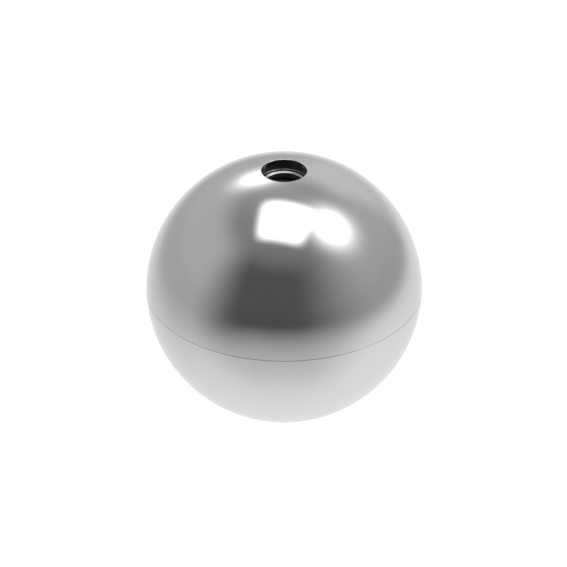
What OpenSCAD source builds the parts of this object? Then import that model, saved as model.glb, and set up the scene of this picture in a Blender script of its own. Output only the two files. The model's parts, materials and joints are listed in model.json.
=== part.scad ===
// Threaded end cap ball
//
// A hollow polished steel ball for the end of a rod or a post. It is pressed as two half shells,
// which are trimmed and joined edge to edge round the equator. A tapped bush is welded inside the
// upper half, behind a plain hole, and takes the stud that holds the ball.
//
// Millimetres. The origin is the centre of the ball, on the joint between the halves.
// +Z runs along the thread and out of the hole.

/* [Ball] */
// Outside diameter that each half shell is pressed to
ball_d = 50; // [30:1:100]
// Thickness of the shell
wall = 2; // [1:0.1:3]
// Height trimmed off the rim of each half, short of a full hemisphere
trim = 0.5; // [0.1:0.1:2]
// Chamfer on the outer edge of each half, which leaves a fine groove at the joint
joint_chamfer = 0.05; // [0.02:0.01:0.5]

/* [Thread] */
// Nominal diameter of the thread
thread_d = 8; // [5:1:10]
// Pitch of the thread
thread_pitch = 1.25; // [0.8:0.05:1.75]
// What the tapping drill is over the nominal diameter less the pitch
drill_allowance = 0.05; // [0:0.01:0.2]
// Chamfer at the mouth of the thread, which the hole shows
mouth_chamfer = 0.1; // [0.05:0.05:0.4]

/* [Hole] */
// Room that the hole in the shell leaves around the nominal thread, on the diameter
stud_clearance = 0.1; // [0:0.1:1]
// Radius that polishing leaves on the rim of the hole
rim_round = 0.1; // [0.05:0.05:0.5]

/* [Bush] */
// Outside diameter of the bush
bush_d = 12; // [10:0.5:20]
// Length of the bush, from its flat face to its tail
bush_len = 10; // [6:0.5:16]
// Width of the domed seat that is turned round the flat face, to fit the inside of the shell
seat_w = 0.75; // [0.3:0.05:0.9]
// Gap left between the seat and the shell for the weld
seat_gap = 0.02; // [0.01:0.01:0.1]
// Chamfer on the outer edge of the tail
tail_chamfer = 0.6; // [0.2:0.1:1]
// Slope of the countersink that clears the tap at the tail, from the bush's axis
tail_countersink = 45; // [30:5:60]

/* [Hidden] */
$fn = 180;

// Ball: both faces of a half shell are arcs about a centre that lies past the joint
outer_r = ball_d / 2;
inner_r = outer_r - wall;
joint_r = sqrt(pow(outer_r, 2) - pow(trim, 2));

// Thread and the hole that a stud goes through to reach it
thread_r = thread_d / 2;
core_r = (thread_d - thread_pitch + drill_allowance) / 2;
hole_r = (thread_d + stud_clearance) / 2;
// How far the rounding of the rim stands proud of the ball, so that they cross in one clean edge
rim_proud = 0.02 * rim_round;

// Bush: its flat face lies where the domed seat starts
bush_r = bush_d / 2;
seat_r = inner_r - seat_gap;
face_r = bush_r - seat_w;
face_z = arc_height(seat_r, face_r) - trim;
tail_z = face_z - bush_len;

// Length that a cut runs on past the faces that it goes through
beyond = 1;

// Height of an arc of radius r at the distance x from its centre's axis
function arc_height(r, x) = sqrt(pow(r, 2) - pow(x, 2));

// Section of a half shell, in the plane of radius and height, from the joint up to the pole
module half_section() {
    difference() {
        intersection() {
            translate([0, -trim]) circle(r = outer_r);
            square([outer_r, outer_r]);
        }
        translate([0, -trim]) circle(r = inner_r);
        joint_edge_cut();
    }
}

// The sliver that the chamfer takes off the outer edge at the joint
module joint_edge_cut() {
    polygon([
        [joint_r - joint_chamfer, 0],
        [joint_r + beyond, 0],
        [joint_r + beyond, joint_chamfer + beyond]
    ]);
}

// The hole through the pole, with the rounded rim that blends it into the ball
module hole_section() {
    round_at = [
        hole_r + rim_round,
        arc_height(outer_r - rim_round + rim_proud, hole_r + rim_round) - trim
    ];
    // The cut starts on the ray from the half's centre through the centre of the rounding
    out = (outer_r + beyond) / (outer_r - rim_round);
    square([hole_r, outer_r + beyond]);
    difference() {
        polygon([
            [hole_r - rim_round, round_at[1]],
            round_at,
            [round_at[0] * out, (round_at[1] + trim) * out - trim],
            [hole_r - rim_round, outer_r + beyond]
        ]);
        translate(round_at) circle(r = rim_round);
    }
}

// Section of the bush: a turned cylinder whose top edge follows the inside of the shell
module bush_section() {
    difference() {
        intersection() {
            translate([0, tail_z]) square([bush_r, bush_len]);
            translate([0, -trim]) circle(r = seat_r);
        }
        translate([0, tail_z - beyond]) square([core_r, bush_len + 2 * beyond]);
        mouth_cut();
        tail_countersink_cut();
        tail_edge_cut();
    }
}

// Chamfer at the mouth of the thread, in the flat face
module mouth_cut() {
    polygon([
        [core_r - beyond, face_z - mouth_chamfer - beyond],
        [core_r + mouth_chamfer + beyond, face_z + beyond],
        [core_r - beyond, face_z + beyond]
    ]);
}

// Countersink in the tail, out to the thread's nominal diameter
module tail_countersink_cut() {
    rise = 1 / tan(tail_countersink);
    polygon([
        [core_r - beyond, tail_z - beyond * rise],
        [thread_r + beyond, tail_z - beyond * rise],
        [core_r - beyond, tail_z + (thread_r - core_r + beyond) * rise]
    ]);
}

// Chamfer round the outer edge of the tail
module tail_edge_cut() {
    polygon([
        [bush_r - tail_chamfer - beyond, tail_z - beyond],
        [bush_r + beyond, tail_z - beyond],
        [bush_r + beyond, tail_z + tail_chamfer + beyond]
    ]);
}

module upper_half_shell() {
    color("silver")
    rotate_extrude()
    difference() {
        half_section();
        hole_section();
    }
}

module lower_half_shell() {
    color("gainsboro")
    rotate_extrude()
    mirror([0, 1]) half_section();
}

module threaded_bush() {
    color("darkgray")
    rotate_extrude()
    bush_section();
}

upper_half_shell();
lower_half_shell();
threaded_bush();
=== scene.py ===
import json
import math

import bmesh
import bpy
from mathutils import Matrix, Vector


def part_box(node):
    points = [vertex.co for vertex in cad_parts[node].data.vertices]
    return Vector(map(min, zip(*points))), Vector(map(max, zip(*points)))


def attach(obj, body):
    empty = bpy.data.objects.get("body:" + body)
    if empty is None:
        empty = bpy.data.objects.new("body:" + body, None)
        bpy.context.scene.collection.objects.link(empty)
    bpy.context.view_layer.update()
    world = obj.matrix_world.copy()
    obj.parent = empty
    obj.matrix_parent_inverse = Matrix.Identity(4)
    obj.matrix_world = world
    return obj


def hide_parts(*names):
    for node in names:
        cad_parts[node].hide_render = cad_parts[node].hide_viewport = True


# %% [markdown]
# # A threaded end cap ball
#
# The ball caps the end of a rod or a handrail post. Two half shells are pressed from stainless
# sheet, joined edge to edge and polished. A turned and tapped bush sits behind the hole at the
# top, and the ball screws onto a stud.
#
# A polished ball has no colour or pattern of its own. What the eye reads is the room that it
# mirrors, so this lesson spends as much care on the studio as on the metal. Everything is in
# metres, in the frame of the CAD model: the origin is the centre of the ball, and +Z comes out
# of the hole.

# %% Load the frame
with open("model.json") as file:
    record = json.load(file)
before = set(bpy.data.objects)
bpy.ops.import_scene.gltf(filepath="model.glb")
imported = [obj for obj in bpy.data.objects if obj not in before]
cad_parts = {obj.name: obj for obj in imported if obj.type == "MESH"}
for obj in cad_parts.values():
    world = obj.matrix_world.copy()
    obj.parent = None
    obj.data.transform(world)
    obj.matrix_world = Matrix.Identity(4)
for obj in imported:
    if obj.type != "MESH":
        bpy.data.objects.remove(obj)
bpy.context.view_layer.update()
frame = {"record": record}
MM = 0.001

# %% [markdown]
# ## The camera
#
# It looks down at the ball from the front, at about 31 degrees, with a long lens from 60 cm. A
# long lens keeps the ball round: with a short one, close up, its outline would stretch towards
# the corners of the view.

# %% Camera
CAMERA_ELEVATION = math.radians(31.35)
CAMERA_DISTANCE = 600 * MM
CAMERA_LENS = 210.4
AIM = Vector((-0.12, 0, 0.69)) * MM


def aim_camera():
    """Makes the scene's camera, in front of the ball and above it."""
    data = bpy.data.cameras.new("camera")
    data.lens = CAMERA_LENS
    camera = bpy.data.objects.new("camera", data)
    bpy.context.scene.collection.objects.link(camera)
    back = Vector((0, -math.cos(CAMERA_ELEVATION), math.sin(CAMERA_ELEVATION)))
    camera.location = AIM + back * CAMERA_DISTANCE
    camera.rotation_euler = (-back).to_track_quat("-Z", "Y").to_euler()
    bpy.context.scene.camera = camera
    print("camera at", [round(v, 4) for v in camera.location])


aim_camera()
bpy.context.scene.view_settings.view_transform = "Standard"

# %% [markdown]
# ## One helper for every node tree
#
# Blender's Geometry Nodes and shaders are both graphs of nodes. Building them by hand in Python
# is wordy, so a small class adds a node in one call, and another wraps an output so that plain
# arithmetic on it adds the Math nodes. `1 - mask` then reads as it would on paper.


# %% Nodes from expressions
class Nodes:
    """Adds nodes to one tree."""

    def __init__(self, tree):
        self.tree = tree

    def add(self, kind, settings=None, inputs=None, output=0):
        """Adds a node, sets it up, feeds its sockets, and gives one of its outputs."""
        node = self.tree.nodes.new(kind)
        for name, value in (settings or {}).items():
            setattr(node, name, value)
        for key, value in (inputs or {}).items():
            if isinstance(value, Signal):
                self.tree.links.new(value.socket, node.inputs[key])
            else:
                node.inputs[key].default_value = value
        return Signal(self, node.outputs[output]) if node.outputs else None

    def math(self, operation, *values):
        """Adds a Math node on sockets or numbers."""
        return self.add("ShaderNodeMath", {"operation": operation}, dict(enumerate(values)))

    def vector_math(self, operation, *values, output=0):
        """Adds a Vector Math node."""
        inputs = dict(enumerate(values))
        return self.add("ShaderNodeVectorMath", {"operation": operation}, inputs, output)

    def mix(self, factor, first, second):
        """Mixes two colours. A Mix node keeps its colours in sockets 6 and 7 and output 2."""
        inputs = {0: factor, 6: first, 7: second}
        return self.add("ShaderNodeMix", {"data_type": "RGBA"}, inputs, output=2)

    def split(self, vector):
        """The X, Y and Z of a vector."""
        parts = self.add("ShaderNodeSeparateXYZ", inputs={0: vector}).socket.node
        return [Signal(self, parts.outputs[axis]) for axis in "XYZ"]

    def length(self, x, y):
        """How long the flat vector x, y is."""
        return self.math("SQRT", x * x + y * y)


class Signal:
    """An output socket. Arithmetic on it adds Math nodes."""

    def __init__(self, nodes, socket):
        self.nodes = nodes
        self.socket = socket

    def __add__(self, other):
        return self.nodes.math("ADD", self, other)

    def __radd__(self, other):
        return self.nodes.math("ADD", other, self)

    def __sub__(self, other):
        return self.nodes.math("SUBTRACT", self, other)

    def __rsub__(self, other):
        return self.nodes.math("SUBTRACT", other, self)

    def __mul__(self, other):
        return self.nodes.math("MULTIPLY", self, other)

    def __rmul__(self, other):
        return self.nodes.math("MULTIPLY", other, self)

    def __truediv__(self, other):
        return self.nodes.math("DIVIDE", self, other)

    def __rtruediv__(self, other):
        return self.nodes.math("DIVIDE", other, self)

    def __neg__(self):
        return self.nodes.math("MULTIPLY", self, -1)

    def ease(self, start, end):
        """0 up to start and 1 from end on, with a smooth turn between. Start may be the larger."""
        inputs = {"Value": self, "From Min": start, "From Max": end}
        return self.nodes.add("ShaderNodeMapRange", {"interpolation_type": "SMOOTHSTEP"}, inputs)


# %% [markdown]
# ## Sizes
#
# The CAD nodes give the sizes that the frame knows: how high the poles lie, where the bush
# starts and ends, and the radii of the hole and of the thread's core. The few that a bounding
# box can't tell are written here once, and every outline below is worked out from them.

# %% Sizes from the frame
WALL = 2 * MM
TRIM = 0.5 * MM
JOINT_CHAMFER = 0.05 * MM
RIM_ROUND = 0.1 * MM
MOUTH_CHAMFER = 0.1 * MM
SEAT_WIDTH = 0.75 * MM
SEAT_GAP = 0.02 * MM
TAIL_CHAMFER = 0.6 * MM
THREAD_PITCH = 1.25 * MM
THREAD_DEPTH = 0.6 * MM

mounts = {mount["name"]: mount["dims"]["r_mm"] * MM for mount in frame["record"]["mounts"]}
hole_r = mounts["entry_hole"]
core_r = mounts["stud_thread"]
thread_r = core_r + THREAD_DEPTH
ball_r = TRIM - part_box("lower_half_shell")[0].z
inside_r = ball_r - WALL
bush_low, bush_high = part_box("threaded_bush")
bush_r, tail_z, face_z = bush_high.x, bush_low.z, bush_high.z
print(f"ball radius {ball_r / MM:.2f} mm, hole {hole_r / MM:.2f} mm, core {core_r / MM:.2f} mm")

# %% [markdown]
# ## Turned shapes
#
# Every piece of this ball is round about Z: a shell is pressed over a round former, and a bush
# is turned on a lathe. Blender could spin an outline with its Spin tool or its Screw modifier.
# A Geometry Nodes tree is used instead, because it can also lift chosen rows of the outline as
# they go round, and a thread is just that: a tooth that climbs by one pitch a turn.
#
# The tree lays a grid over the piece, with one row for each point of the outline and one column
# for each step round the axis, and moves each point of the grid to its place. The three cells
# below are what it does to a row of the thread, what it does to the finished faces, and the tree.


# %% Rows of a thread
def climb_rows(nodes, given, radius, height, climb, turned):
    """Lifts the rows that climb, and gives every row's new radius and height."""
    mouth, foot = given["Thread mouth"], given["Thread foot"]
    is_thread = nodes.math("GREATER_THAN", climb, 0)

    # A climbing row is held between the ends of the thread, and fades into the core at the mouth
    climbed = height + climb * turned
    held = nodes.math("MINIMUM", nodes.math("MAXIMUM", climbed, foot), mouth)
    cut = ((mouth - held) / given["Run-out"]).ease(0, 1)
    groove = (radius - given["Core radius"]) * cut
    countersink = given["Thread radius"] - (held - foot)
    threaded = nodes.math("MAXIMUM", given["Core radius"] + groove, countersink)
    return radius + (threaded - radius) * is_thread, height + (held - height) * is_thread


# %% Clean faces and their finishes
MERGE = 0.0001 * MM


def finish_faces(nodes, given, piece):
    """Closes the seam and the poles, and gives the piece and its bore their finishes."""
    inputs = {"Geometry": piece, "Distance": MERGE}
    piece = nodes.add("GeometryNodeMergeByDistance", inputs=inputs)

    # Rows that lie on the axis shrink to a point, and leave a bare edge between two poles
    faces = nodes.add("GeometryNodeInputMeshEdgeNeighbors")
    settings = {"data_type": "INT", "operation": "EQUAL"}
    bare = nodes.add("FunctionNodeCompare", settings, {"A": faces, "B": 0})
    settings = {"domain": "EDGE", "mode": "EDGE_FACE"}
    inputs = {"Geometry": piece, "Selection": bare}
    piece = nodes.add("GeometryNodeDeleteGeometry", settings, inputs)

    piece = nodes.add("GeometryNodeRealizeInstances", inputs={0: piece})
    inputs = {"Geometry": piece, "Material": given["Finish"]}
    piece = nodes.add("GeometryNodeSetMaterial", inputs=inputs)
    x, y, z = nodes.split(nodes.add("GeometryNodeInputPosition"))
    in_bore = nodes.math("LESS_THAN", nodes.length(x, y), given["Bore radius"])
    below_top = nodes.math("LESS_THAN", z, given["Bore top"])
    inputs = {"Geometry": piece, "Selection": in_bore * below_top, "Material": given["Bore finish"]}
    return nodes.add("GeometryNodeSetMaterial", inputs=inputs)


# %% The turning tree
TREE_INPUTS = {
    "Outline": "NodeSocketGeometry",
    "Steps": "NodeSocketInt",
    "Core radius": "NodeSocketFloat",
    "Thread radius": "NodeSocketFloat",
    "Thread foot": "NodeSocketFloat",
    "Thread mouth": "NodeSocketFloat",
    "Run-out": "NodeSocketFloat",
    "Finish": "NodeSocketMaterial",
    "Bore radius": "NodeSocketFloat",
    "Bore top": "NodeSocketFloat",
    "Bore finish": "NodeSocketMaterial",
}


def turning_tree():
    """Builds the tree that turns an outline about Z. Rows with a climb become a thread."""
    tree = bpy.data.node_groups.new("turned_piece", "GeometryNodeTree")
    for name, kind in TREE_INPUTS.items():
        tree.interface.new_socket(name=name, in_out="INPUT", socket_type=kind)
    tree.interface.new_socket(name="Piece", in_out="OUTPUT", socket_type="NodeSocketGeometry")
    nodes = Nodes(tree)
    group = nodes.add("NodeGroupInput").socket.node
    given = {name: Signal(nodes, group.outputs[name]) for name in TREE_INPUTS}

    columns = given["Steps"] + 1
    rows = nodes.add("GeometryNodeAttributeDomainSize", inputs={0: given["Outline"]})
    grid = nodes.add("GeometryNodeMeshGrid", inputs={"Vertices X": rows, "Vertices Y": columns})
    index = nodes.add("GeometryNodeInputIndex")

    # Half a step more keeps rounding from dropping a row's first point into the row before
    row = nodes.math("FLOOR", (index + 0.5) / columns)
    turned = (index - row * columns) / given["Steps"]

    def at_row(data_type, value):
        settings = {"data_type": data_type, "domain": "POINT"}
        inputs = {"Geometry": given["Outline"], "Value": value, "Index": row}
        return nodes.add("GeometryNodeSampleIndex", settings, inputs)

    radius, _, height = nodes.split(at_row("FLOAT_VECTOR", nodes.add("GeometryNodeInputPosition")))
    named = nodes.add("GeometryNodeInputNamedAttribute", {"data_type": "FLOAT"}, {"Name": "climb"})
    radius, height = climb_rows(nodes, given, radius, height, at_row("FLOAT", named), turned)

    angle = turned * math.tau
    x = radius * nodes.math("COSINE", angle)
    y = radius * nodes.math("SINE", angle)
    place = nodes.add("ShaderNodeCombineXYZ", inputs={0: x, 1: y, 2: height})
    piece = nodes.add("GeometryNodeSetPosition", inputs={"Geometry": grid, "Position": place})
    nodes.add("NodeGroupOutput", inputs={0: finish_faces(nodes, given, piece)})
    return tree


turned_piece = turning_tree()
print("the turning tree has", len(turned_piece.nodes), "nodes")

# %% [markdown]
# ## Outlines
#
# An outline is a closed loop of points in the plane of radius and height, and a round stretch of
# it is an arc. A mirror shows the smallest kink, so the arcs of the outside take a step of just
# over a degree, and a short step leads into each arc: it keeps the shading of a sharp edge or a
# tight round from spreading over the wide face beside it.

# %% Arcs
OUTSIDE_STEP = math.radians(1.25)
INSIDE_STEP = math.radians(2.5)
LEAD_IN = math.radians(0.04)
LEAD_SHARE = 1 / 4


def arc(centre, radius, start, end, step):
    """Points on a circle from the angle start to end, with a short first and last step."""
    lead = math.copysign(min(LEAD_IN, abs(end - start) * LEAD_SHARE), end - start)
    count = max(1, round(abs(end - start - 2 * lead) / step))
    angles = [start + lead + (end - start - 2 * lead) * i / count for i in range(count + 1)]
    return [
        (centre[0] + radius * math.cos(angle), centre[1] + radius * math.sin(angle))
        for angle in [start, *angles, end]
    ]


# %% Turned pieces
STEPS_ROUND = 288
SHARP = math.radians(12)

# Without a thread nothing runs out, but the tree still divides by this length
NO_RUN_OUT = 1.0


def turn(name, outline, finish, climbs=None, **sizes):
    """Turns an outline of (radius, height) about Z into a closed mesh object."""
    mesh = bpy.data.meshes.new(name)
    mesh.from_pydata([(radius, 0, height) for radius, height in outline], [], [])
    climb = mesh.attributes.new("climb", "FLOAT", "POINT")
    climb.data.foreach_set("value", climbs or [0] * len(outline))
    piece = bpy.data.objects.new(name, mesh)
    bpy.context.scene.collection.objects.link(piece)
    modifier = piece.modifiers.new("turned", "NODES")
    modifier.node_group = turned_piece
    wanted = {"Steps": STEPS_ROUND, "Finish": finish, "Run-out": NO_RUN_OUT, **sizes}
    for socket in turned_piece.interface.items_tree:
        if socket.name in wanted:
            modifier[socket.identifier] = wanted[socket.name]
    depsgraph = bpy.context.evaluated_depsgraph_get()
    piece.data = bpy.data.meshes.new_from_object(piece.evaluated_get(depsgraph))
    piece.data.name = name
    piece.modifiers.clear()
    piece.data.shade_smooth()
    piece.data.set_sharp_from_angle(angle=SHARP)
    measure(piece)
    return piece


def measure(piece):
    """Prints a piece's triangles and volume, and whether it is closed."""
    shape = bmesh.new()
    shape.from_mesh(piece.data)
    open_edges = sum(len(edge.link_faces) != 2 for edge in shape.edges)
    triangles = len(shape.calc_loop_triangles())
    volume = shape.calc_volume(signed=True) / MM**3
    shape.free()
    print(f"{piece.name}: {triangles} triangles, {volume:.1f} mm3, {open_edges} open edges")


# %% [markdown]
# ## The finishes
#
# Every piece is the same steel, and what differs is how it was worked: polished, turned, tapped
# or drilled. Deep in the hole, the tapped and drilled finishes also carry painted shade in their
# colour. So one function makes a metal, and each finish below says only what varies over its
# surface. The patterns are noise on Object coordinates, in real sizes, so they stay put on the
# piece from any side.


# %% Any metal
def grey(level):
    """A neutral colour."""
    return (level, level, level, 1)


def metal(name, level, roughness, build, **constants):
    """Makes a metal. build(nodes, place) gives the sockets that vary over the surface."""
    material = bpy.data.materials.new(name)
    material.use_nodes = True
    material.node_tree.nodes.clear()
    nodes = Nodes(material.node_tree)
    place = nodes.add("ShaderNodeTexCoord", output="Object")
    inputs = {"Base Color": grey(level), "Metallic": 1.0, "Roughness": roughness}
    inputs.update(constants, **build(nodes, place))
    shader = nodes.add("ShaderNodeBsdfPrincipled", inputs=inputs)
    nodes.add("ShaderNodeOutputMaterial", inputs={"Surface": shader})
    print(f"{name}: {len(material.node_tree.nodes)} nodes")
    return material


def noise(nodes, place, size, detail=2.0, stretch=(1, 1, 1)):
    """Noise from 0 to 1 whose patches are about size metres wide, drawn out by stretch."""
    scaled = nodes.vector_math("MULTIPLY", place, tuple(1 / (size * s) for s in stretch))
    inputs = {"Vector": scaled, "Scale": 1.0, "Detail": detail}
    return nodes.add("ShaderNodeTexNoise", inputs=inputs, output="Fac")


def spread(pattern, amount):
    """Makes of a pattern from 0 to 1 one that is amount wide, with its middle at 0."""
    return (pattern - 0.5) * amount


def bump(nodes, height, depth, strength=1.0):
    """Makes the surface look as if height, from 0 to 1, stood depth metres high."""
    inputs = {"Strength": strength, "Distance": depth, "Height": height}
    return nodes.add("ShaderNodeBump", inputs=inputs)


# %% [markdown]
# Polished stainless steel is a metal with a grey base colour and low roughness. It is never
# quite a mirror: buffing leaves a haze that softens the edges of what it reflects, a little
# more in some places than in others, and a skin of very fine waves. Both are far too faint to
# see from a distance, and clear close up. In the groove at the joint the steel is darker.

# %% Polished steel
POLISH_ROUGHNESS = 0.1
POLISH_GREY = 0.64
GROOVE_GREY = 0.47
GROOVE_EDGE = (1.4 * JOINT_CHAMFER, JOINT_CHAMFER)
HAZE_SIZE = 5 * MM
HAZE_ROUGHNESS = 0.02
GRAIN_SIZE = 0.25 * MM
GRAIN_STRETCH = (3, 3, 1)
GRAIN_ROUGHNESS = 0.01
WAVE_SIZE = 1.2 * MM
WAVE_DEPTH = 0.0002 * MM


def polish(nodes, place):
    """A haze that varies, the faint waves that buffing leaves, and a darker groove."""
    haze = spread(noise(nodes, place, HAZE_SIZE), HAZE_ROUGHNESS)
    grain = spread(noise(nodes, place, GRAIN_SIZE, stretch=GRAIN_STRETCH), GRAIN_ROUGHNESS)
    waves = noise(nodes, place, WAVE_SIZE, detail=1.0)
    _, _, z = nodes.split(place)
    groove = nodes.math("ABSOLUTE", z).ease(*GROOVE_EDGE)
    return {
        "Base Color": nodes.mix(groove, grey(POLISH_GREY), grey(GROOVE_GREY)),
        "Roughness": POLISH_ROUGHNESS + haze + grain,
        "Normal": bump(nodes, waves, WAVE_DEPTH),
    }


polished_steel = metal("polished_steel", POLISH_GREY, POLISH_ROUGHNESS, polish)

# %% [markdown]
# A lathe tool leaves fine rings round the axis. They are too fine to model one by one, so the
# highlight is spread across them with anisotropy, and a little bump breaks it up. Where the face
# runs under the shell it is painted near black, as painted shade for the gap there, and the
# hole shows the edge of it as a thin dark line.

# %% Turned steel
TURNED_ROUGHNESS = 0.5
TURNED_GREY = 0.95
TURNED_SPREAD = 0.9
ACROSS_RINGS = 0.25
RING_SIZE = 0.06 * MM
RING_DEPTH = 0.003 * MM
RING_ROUGHNESS = 0.1
MARK_STRENGTH = 0.4
# Painted shade: the face is near black where it runs under the shell
GAP_SHADE_GREY = 0.03
GAP_SHADE_WIDTH = 0.15 * MM
GAP_SHADE_BLEND = 0.04 * MM


def tool_marks_and_gap_shade(nodes, place):
    """Fine rings round the axis, and painted shade from just inside the hole's radius outwards."""
    x, y, z = nodes.split(place)
    from_axis = nodes.length(x, y)
    rings = nodes.add("ShaderNodeCombineXYZ", inputs={0: from_axis, 1: z})
    marks = noise(nodes, rings, RING_SIZE)
    # Painted shade for the gap under the shell, from just inside the hole's radius outwards
    gap_shade_r = hole_r - GAP_SHADE_WIDTH
    gap_shade = from_axis.ease(gap_shade_r - GAP_SHADE_BLEND, gap_shade_r + GAP_SHADE_BLEND)
    return {
        "Base Color": nodes.mix(gap_shade, grey(TURNED_GREY), grey(GAP_SHADE_GREY)),
        "Roughness": TURNED_ROUGHNESS + spread(marks, RING_ROUGHNESS),
        "Normal": bump(nodes, marks, RING_DEPTH, MARK_STRENGTH),
    }


turned_look = {"Anisotropic": TURNED_SPREAD, "Anisotropic Rotation": ACROSS_RINGS}
turned_steel = metal("turned_steel", TURNED_GREY, TURNED_ROUGHNESS, tool_marks_and_gap_shade, **turned_look)

# %% [markdown]
# A tap tears stainless steel as much as it cuts it. The turns are dull and uneven, with no
# sheen to speak of. A thread this deep in a hole gets little light, so its dark grey is painted
# shade, and a fine bump is all that it takes besides.

# %% Tapped steel
TAPPED_ROUGHNESS = 0.85
# Painted shade: the thread's steel is dark grey for the little light deep in the hole
TAPPED_SHADE_GREY = 0.16
SKIN_SIZE = 0.3 * MM
TAPPED_DEPTH = 0.006 * MM
TAPPED_UNEVEN = 0.2


def tapped_marks(nodes, place):
    """The dull, uneven skin that a tap leaves."""
    skin = noise(nodes, place, SKIN_SIZE)
    return {
        "Roughness": TAPPED_ROUGHNESS + spread(skin, TAPPED_UNEVEN),
        "Normal": bump(nodes, skin, TAPPED_DEPTH, MARK_STRENGTH),
    }


tapped_shaded_steel = metal("tapped_shaded_steel", TAPPED_SHADE_GREY, TAPPED_ROUGHNESS, tapped_marks)

# %% [markdown]
# The hole's wall is drilled. The wheel rubs over the rim and polishes the first half
# millimetre, and a narrow line at the foot is left polished too, so that it mirrors the lit
# face of the bush. Between them the wall is rougher, and its dark grey is painted shade for
# the depth of the hole. All of it follows from height alone, so this could be three materials
# on three bands, but then each would end in a hard line.

# %% Drilled steel
DRILLED_ROUGHNESS = 0.3
# Painted shade: the wall's dark grey between rim and foot stands for the shade in the hole
DRILLED_SHADE_GREY = 0.24
FOOT_DULL = (0.06 * MM, 0.13 * MM)
RIM_DULL = (0.55 * MM, 0.95 * MM)
DRILLED_STRETCH = (1, 1, 0.2)
DRILLED_UNEVEN = 0.05


def drilled_marks_and_shade(nodes, place):
    """A rougher wall painted dark as shade, polished near its rim and along a line at its foot."""
    _, _, z = nodes.split(place)
    foot_z = math.sqrt(inside_r**2 - hole_r**2) - TRIM
    rim_z = math.sqrt(ball_r**2 - hole_r**2) - TRIM
    above_foot = z.ease(foot_z + FOOT_DULL[0], foot_z + FOOT_DULL[1])
    below_rim = z.ease(rim_z - RIM_DULL[0], rim_z - RIM_DULL[1])
    # Between foot and rim the wall is rougher, and painted darker as shade in the hole
    dull = above_foot * below_rim
    skin = noise(nodes, place, SKIN_SIZE, stretch=DRILLED_STRETCH)
    roughness = POLISH_ROUGHNESS + dull * (DRILLED_ROUGHNESS - POLISH_ROUGHNESS)
    return {
        "Base Color": nodes.mix(dull, grey(POLISH_GREY), grey(DRILLED_SHADE_GREY)),
        "Roughness": roughness + spread(skin, DRILLED_UNEVEN),
    }


drilled_shaded_steel = metal("drilled_shaded_steel", DRILLED_SHADE_GREY, DRILLED_ROUGHNESS, drilled_marks_and_shade)

# %% [markdown]
# ## The half shells
#
# Each half was pressed to a radius of 25 mm and its rim trimmed by half a millimetre, so the
# two arcs are centred half a millimetre past the joint. A tiny chamfer on each rim leaves the
# fine groove that shows as a line round the ball.

# %% Lower half shell
QUARTER = math.pi / 2
joint_r = math.sqrt(ball_r**2 - TRIM**2)
inside_joint_r = math.sqrt(inside_r**2 - TRIM**2)


def edge_angle(radius, height):
    """Angle from level, at an arc's centre, to its point at that height past the joint."""
    return math.asin((height + TRIM) / radius)


chamfer_angle = edge_angle(ball_r, JOINT_CHAMFER)
lower_outline = [
    *arc((0, TRIM), inside_r, -QUARTER, -edge_angle(inside_r, 0), INSIDE_STEP),
    (joint_r - JOINT_CHAMFER, 0),
    *arc((0, TRIM), ball_r, -chamfer_angle, -QUARTER, OUTSIDE_STEP),
    (0, TRIM - inside_r),
]
lower_half = turn("polished_lower_half", lower_outline, polished_steel)

# %% [markdown]
# The upper half has the hole, and polishing rounds its rim. The rounding's centre lies on the
# line from the half's centre to where the two curves meet, so that they meet without a kink. The
# wall of the hole is the bore of this piece, and takes the drilled finish up to the rounding.

# %% Upper half shell
RIM_STEP = math.radians(6)
EDGE_SLACK = 0.01 * MM
rim_centre_r = hole_r + RIM_ROUND
rim_centre_z = math.sqrt((ball_r - RIM_ROUND) ** 2 - rim_centre_r**2) - TRIM
rim_angle = math.atan2(rim_centre_z + TRIM, rim_centre_r)
hole_angle = math.acos(hole_r / inside_r)
upper_outline = [
    (inside_joint_r, 0),
    *arc((0, -TRIM), inside_r, edge_angle(inside_r, 0), hole_angle, INSIDE_STEP)[1:],
    *arc((rim_centre_r, rim_centre_z), RIM_ROUND, math.pi, rim_angle, RIM_STEP),
    *arc((0, -TRIM), ball_r, rim_angle, chamfer_angle, OUTSIDE_STEP)[1:],
    (joint_r - JOINT_CHAMFER, 0),
    (inside_joint_r, 0),
]
hole_sizes = {
    "Bore radius": hole_r + EDGE_SLACK,
    "Bore top": rim_centre_z,
    "Bore finish": drilled_shaded_steel,
}
upper_half = turn("polished_upper_half", upper_outline, polished_steel, **hole_sizes)

# %% [markdown]
# ## The tapped bush
#
# The bush is turned, and its bore is tapped M8: a right-hand thread of 60 degrees that climbs
# 1.25 mm a turn, 0.6 mm deep. Its rows are written for one turn more than the bore is long,
# because each climbs by a pitch on its way round, and the tree holds them between the
# countersink at the tail and the mouth.

# %% The thread's rows
THREAD_START = 0.05 * MM
FLANK_ANGLE = math.radians(30)
ROOT_SHARE = 1 / 8
thread_foot = tail_z
thread_mouth = face_z - MOUTH_CHAMFER - THREAD_START
flank = THREAD_DEPTH * math.tan(FLANK_ANGLE)
root_width = THREAD_PITCH * ROOT_SHARE
crest_width = THREAD_PITCH - root_width - 2 * flank


def thread_rows():
    """The tooth's outline from below the foot to past the mouth, before it climbs."""
    corners = [
        (core_r, 0),
        (core_r, crest_width),
        (thread_r, crest_width + flank),
        (thread_r, crest_width + flank + root_width),
    ]
    start = thread_foot - THREAD_PITCH
    teeth = math.ceil((thread_mouth - start) / THREAD_PITCH) + 1
    bases = [start + tooth * THREAD_PITCH for tooth in range(teeth)]
    return [(radius, base + rise) for base in bases for radius, rise in corners]


tooth_rows = thread_rows()
print("the thread has", len(tooth_rows), "rows")

# %% [markdown]
# The face is flat inside the seat, and the seat is turned to the inside of the shell, which is
# why the bush can sit close behind the hole. The thread runs out at the mouth, so that the ring
# that the hole shows stays whole.

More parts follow.
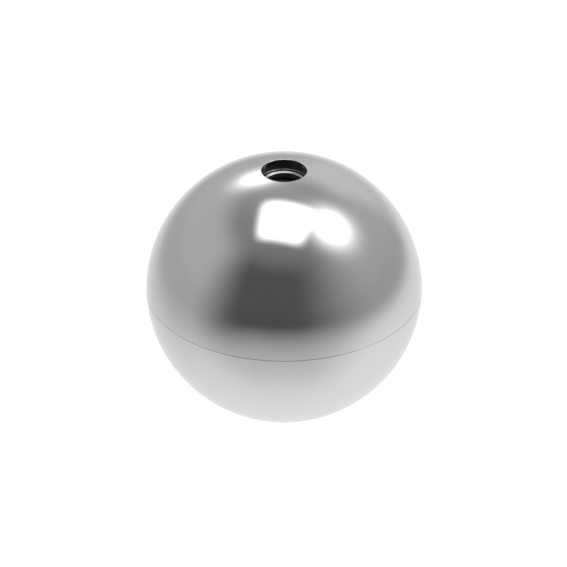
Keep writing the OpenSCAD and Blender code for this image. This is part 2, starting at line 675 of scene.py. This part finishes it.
# %% Bush
RUN_OUT = 0.9 * MM
seat_r = inside_r - SEAT_GAP
face_r = bush_r - SEAT_WIDTH
seat_start, seat_end = math.acos(face_r / seat_r), math.acos(bush_r / seat_r)
bush_outline = [
    *tooth_rows,
    (core_r, face_z - MOUTH_CHAMFER),
    (core_r + MOUTH_CHAMFER, face_z),
    *arc((0, -TRIM), seat_r, seat_start, seat_end, INSIDE_STEP),
    (bush_r, tail_z + TAIL_CHAMFER),
    (bush_r - TAIL_CHAMFER, tail_z),
    (thread_r, tail_z),
]
climbs = [THREAD_PITCH] * len(tooth_rows) + [0] * (len(bush_outline) - len(tooth_rows))
bush_sizes = {
    "Core radius": core_r,
    "Thread radius": thread_r,
    "Thread foot": thread_foot,
    "Thread mouth": thread_mouth,
    "Run-out": RUN_OUT,
    "Bore radius": thread_r,
    "Bore top": thread_mouth,
    "Bore finish": tapped_shaded_steel,
}
bush = turn("tapped_bush", bush_outline, turned_steel, climbs, **bush_sizes)

# %% [markdown]
# ## Riding on the frame
#
# The part has no joints, so all three pieces ride on its one body, and each stands for the CAD
# node whose place it takes.

# %% Bodies and nodes
for piece, node, slot in (
    (upper_half, "upper_half_shell", "polished_steel"),
    (lower_half, "lower_half_shell", "polished_steel"),
    (bush, "threaded_bush", "turned_steel"),
):
    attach(piece, "root")
    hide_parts(node)
    low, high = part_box(node)

    # Corner 0 of a bound box is its lowest, and corner 6 its highest
    piece_low, piece_high = piece.bound_box[0], piece.bound_box[6]
    past = max(max(low[i] - piece_low[i], piece_high[i] - high[i]) for i in range(3))
    print(f"{piece.name} reaches {past / MM:.4f} mm past its CAD node")

# %% [markdown]
# ## The room
#
# The world is a small studio, described by direction only. A panorama could do it too, but a
# handful of plain features is easier to read and to change: grey walls with a dark opening in
# front of the ball and a pale screen behind it, a dimmer ceiling, and a pale floor. Directions are
# in degrees, with 0 towards the camera's side and the right-hand side positive. What differs
# from side to side is given for the four sides of the room, and blends from one to the next.

# %% The four sides
DEGREES = 180 / math.pi
FRONT_BLEND = (90, 20)
REAR_BLEND = (90, 180)


def by_side(azimuth, front, right, rear, left):
    """A value given for the room's four sides, which turns smoothly from one to the next."""
    nodes = azimuth.nodes
    away = nodes.math("ABSOLUTE", azimuth)
    beside = left + (right - left) * nodes.math("GREATER_THAN", azimuth, 0)
    to_front = (front - beside) * away.ease(*FRONT_BLEND)
    to_rear = (rear - beside) * away.ease(*REAR_BLEND)
    return beside + to_front + to_rear


# %% Walls and ceiling
WALL_LIGHT = {"front": 0.55, "right": 0.5, "rear": 0.6, "left": 0.58}
CEILING_LIGHT = {"front": 0.25, "right": 0.25, "rear": 0.45, "left": 0.3}
CEILING_HEIGHT = {"front": 50, "right": 42, "rear": 42, "left": 50}
CEILING_BLEND = 12
OPENING_LIGHT = 0.11
OPENING_LEFT = (-85, -35)
OPENING_RIGHT = (90, 5)
SCREEN_LIGHT = 0.75
SCREEN_LEFT = (130, 150)
SCREEN_RIGHT = (180, 165)


def wall_light(azimuth):
    """How light the walls are, with the opening in front and the screen behind."""
    opening = azimuth.ease(*OPENING_LEFT) * azimuth.ease(*OPENING_RIGHT)
    screen = azimuth.ease(*SCREEN_LEFT) * azimuth.ease(*SCREEN_RIGHT)
    wall = by_side(azimuth, **WALL_LIGHT)
    wall = wall + (OPENING_LIGHT - wall) * opening
    return wall + (SCREEN_LIGHT - wall) * screen


# %% [markdown]
# A floor under a ball is brightest close by, where the lamps shine straight down on it, and
# fades into the foot of the wall far out. How far out a direction meets it is told by its slope,
# the depth over the distance. At the half slope it is halfway between the two, and the larger
# the bend, the more sharply it turns from one to the other. Straight under the ball the four
# sides meet, so there the floor has one light for all of them.

# %% The floor's light
FLOOR_LIGHT = {"front": 0.88, "right": 1.05, "rear": 0.9, "left": 0.97}
FLOOR_HALF_SLOPE = {"front": 0.32, "right": 0.25, "rear": 0.12, "left": 0.6}
FLOOR_BEND = {"front": 1.3, "right": 3.0, "rear": 2.0, "left": 3.2}
FLOOR_UNDER_LIGHT = 1.04
FLOOR_UNDER_FROM = (40, 90)
LEAST_SLOPE = 0.001


def floor_light(azimuth, slope):
    """How light the floor looks from the ball."""
    nodes = azimuth.nodes
    ratio = by_side(azimuth, **FLOOR_HALF_SLOPE) / nodes.math("MAXIMUM", slope, LEAST_SLOPE)
    nearness = 1 / (nodes.math("POWER", ratio, by_side(azimuth, **FLOOR_BEND)) + 1)
    wall = wall_light(azimuth)
    light = wall + (by_side(azimuth, **FLOOR_LIGHT) - wall) * nearness
    steep = nodes.math("ARCTANGENT", slope) * DEGREES
    return light + (FLOOR_UNDER_LIGHT - light) * steep.ease(*FLOOR_UNDER_FROM)


# %% [markdown]
# The world joins them up. The walls give over to the ceiling at its height and to the floor at
# the horizon, and the corner between wall and floor is a little darker, as corners are.

# %% World
CORNER_DIM = 0.08
CORNER_BELOW = (-20, -6)
CORNER_ABOVE = (16, 2)
HORIZON = (0.5, -0.5)


def heading(nodes, x, y):
    """Where a direction lies round the ball, in degrees from the camera's side."""
    return nodes.math("ARCTAN2", x, -y) * DEGREES


def build_world():
    """Makes the studio's walls, ceiling and far floor."""
    world = bpy.data.worlds.new("studio")
    world.use_nodes = True
    world.node_tree.nodes.clear()
    nodes = Nodes(world.node_tree)
    x, y, z = nodes.split(nodes.add("ShaderNodeTexCoord", output="Generated"))
    azimuth = heading(nodes, x, y)
    height = nodes.math("ARCSINE", z) * DEGREES
    wall = wall_light(azimuth)
    ceiling = by_side(azimuth, **CEILING_LIGHT)
    turn_at = by_side(azimuth, **CEILING_HEIGHT)
    above = wall + (ceiling - wall) * height.ease(turn_at - CEILING_BLEND, turn_at + CEILING_BLEND)
    outward = nodes.math("MAXIMUM", nodes.length(x, y), LEAST_SLOPE)
    below = floor_light(azimuth, nodes.math("MAXIMUM", -z, 0) / outward)
    light = above + (below - above) * height.ease(*HORIZON)
    light = light * (1 - CORNER_DIM * height.ease(*CORNER_BELOW) * height.ease(*CORNER_ABOVE))
    background = nodes.add("ShaderNodeBackground", inputs={"Color": light, "Strength": 1.0})
    nodes.add("ShaderNodeOutputWorld", inputs={"Surface": background})
    bpy.context.scene.world = world
    print("the world has", len(world.node_tree.nodes), "nodes")


build_world()

# %% [markdown]
# ## The lamps
#
# Three soft lamps do the lighting: a square softbox overhead, a large round one at the right and
# a smaller one behind at the left. What counts on a mirror is how big each one looks from
# the ball, so a lamp is given by its direction and the angle from its middle to its edge, and its
# light is how bright its middle looks, where 1 is white.

# %% Softboxes
LAMP_DISTANCE = 1.5


def softbox(name, shape, half_angle, light, fade):
    """Makes a lamp that looks half_angle degrees wide from middle to edge, as seen from the ball.

    fade(nodes, u, v) gives its brightness at the place u, v, which run from -1 to 1."""
    data = bpy.data.lights.new(name, "AREA")
    data.shape = shape
    data.size = 2 * LAMP_DISTANCE * math.tan(math.radians(half_angle))
    area = data.size**2 * (1 if shape == "SQUARE" else math.pi / 4)

    # A lamp of P watts has a face as bright as P / (pi * area)
    data.energy = light * math.pi * area
    data.use_nodes = True
    data.node_tree.nodes.clear()
    nodes = Nodes(data.node_tree)
    u, v, _ = nodes.split(nodes.add("ShaderNodeNewGeometry", output="Parametric"))
    strength = fade(nodes, u * 2 - 1, v * 2 - 1)
    emission = nodes.add("ShaderNodeEmission", inputs={"Strength": strength})
    nodes.add("ShaderNodeOutputLight", inputs={"Surface": emission})
    lamp = bpy.data.objects.new(name, data)
    bpy.context.scene.collection.objects.link(lamp)
    print(f"{name}: {data.size:.2f} m, {data.energy:.1f} W")
    return lamp


# %% Square softbox
OVERHEAD = Vector((0.01, -0.03, LAMP_DISTANCE))
SQUARE_FADE = (1, 0.41)


def square_softbox(name, turned, half_angle, light):
    """A square softbox overhead, turned by some degrees, and dimmer towards its edges."""

    def fade(nodes, u, v):
        across = nodes.math("ABSOLUTE", u).ease(*SQUARE_FADE)
        return across * nodes.math("ABSOLUTE", v).ease(*SQUARE_FADE)

    lamp = softbox(name, "SQUARE", half_angle, light, fade)
    lamp.location = OVERHEAD
    lamp.rotation_euler = (0, 0, math.radians(turned))


square_softbox("overhead_softbox", turned=-13, half_angle=23, light=3.0)

# %% Round softboxes
ROUND_FADE = 5


def direction(azimuth, elevation):
    """Unit vector from the ball, at degrees round from the camera's side and up from level."""
    across, up = math.radians(azimuth), math.radians(elevation)
    level = math.cos(up)
    return Vector((level * math.sin(across), -level * math.cos(across), math.sin(up)))


def round_softbox(name, azimuth, elevation, half_angle, light):
    """A round softbox that faces the ball, brightest in the middle."""
    half = math.radians(half_angle)

    def fade(nodes, u, v):
        angle = nodes.math("ARCTANGENT", nodes.length(u, v) * math.tan(half)) / half
        return nodes.math("POWER", nodes.math("MAXIMUM", 1 - angle, 0), ROUND_FADE)

    lamp = softbox(name, "DISK", half_angle, light, fade)
    towards = direction(azimuth, elevation)
    lamp.location = towards * LAMP_DISTANCE
    lamp.rotation_euler = (-towards).to_track_quat("-Z", "Y").to_euler()


round_softbox("right_softbox", azimuth=95, elevation=56, half_angle=47, light=7.5)
round_softbox("rear_softbox", azimuth=-165, elevation=38, half_angle=33, light=5.0)

# %% [markdown]
# ## The floor
#
# A pale floor lies under the ball, well clear of it: the ball is held by its stud, and has no
# rest of its own. To the camera the floor is a diffuse surface that takes the light and the
# ball's shadow, with a glow added that lifts it to white. The metal sees the light that the room
# gives the floor, so that the floor's edge makes no line in a mirror. The edge fades out as well,
# and from below the floor is clear, so that the ball can be looked at from there too.

# %% Floor
FLOOR_Z = -0.12
FLOOR_MIDDLE = Vector((0, 0.22, FLOOR_Z))
FLOOR_RADIUS = 0.28
FLOOR_SOLID = 0.19
FLOOR_SIDES = 128
FLOOR_GREY = 0.55
GLOW_DIRECT = 0.58


def floor_finish():
    """Makes the floor's material, which differs for the camera and for the metal."""
    material = bpy.data.materials.new("floor")
    material.use_nodes = True
    material.node_tree.nodes.clear()
    nodes = Nodes(material.node_tree)
    place = nodes.add("ShaderNodeTexCoord", output="Object")
    by_camera = nodes.add("ShaderNodeLightPath", output="Is Camera Ray")
    by_metal = nodes.add("ShaderNodeLightPath", output="Is Glossy Ray")
    by_glass = nodes.add("ShaderNodeLightPath", output="Is Transmission Ray")

    lit = nodes.add("ShaderNodeBsdfDiffuse", inputs={"Color": grey(FLOOR_GREY)})
    white = nodes.add("ShaderNodeEmission", inputs={"Strength": by_camera * GLOW_DIRECT})
    direct = nodes.add("ShaderNodeAddShader", inputs={0: lit, 1: white})
    x, y, z = nodes.split(place)
    glow = floor_light(heading(nodes, x, y), -z / nodes.length(x, y))
    mirrored = nodes.add("ShaderNodeEmission", inputs={"Strength": glow})
    seen = {0: by_metal + by_glass, 1: direct, 2: mirrored}
    both = nodes.add("ShaderNodeMixShader", inputs=seen)

    from_middle = nodes.vector_math("DISTANCE", place, tuple(FLOOR_MIDDLE), output="Value")
    behind = nodes.add("ShaderNodeNewGeometry", output="Backfacing")
    gone = nodes.math("MAXIMUM", from_middle.ease(FLOOR_SOLID, FLOOR_RADIUS), behind)
    clear = nodes.add("ShaderNodeBsdfTransparent")
    surface = nodes.add("ShaderNodeMixShader", inputs={0: gone, 1: both, 2: clear})
    nodes.add("ShaderNodeOutputMaterial", inputs={"Surface": surface})
    return material


def build_floor():
    """Makes a round floor under the ball, with a soft edge."""
    shape = bmesh.new()
    bmesh.ops.create_circle(shape, cap_ends=True, segments=FLOOR_SIDES, radius=FLOOR_RADIUS)
    bmesh.ops.translate(shape, verts=shape.verts, vec=FLOOR_MIDDLE)
    mesh = bpy.data.meshes.new("floor")
    shape.to_mesh(mesh)
    shape.free()
    mesh.materials.append(floor_finish())
    floor = bpy.data.objects.new("floor", mesh)
    bpy.context.scene.collection.objects.link(floor)


build_floor()

# %% [markdown]
# ## Closing
#
# The view layer is brought up to date.

# %% Update the view layer
bpy.context.view_layer.update()
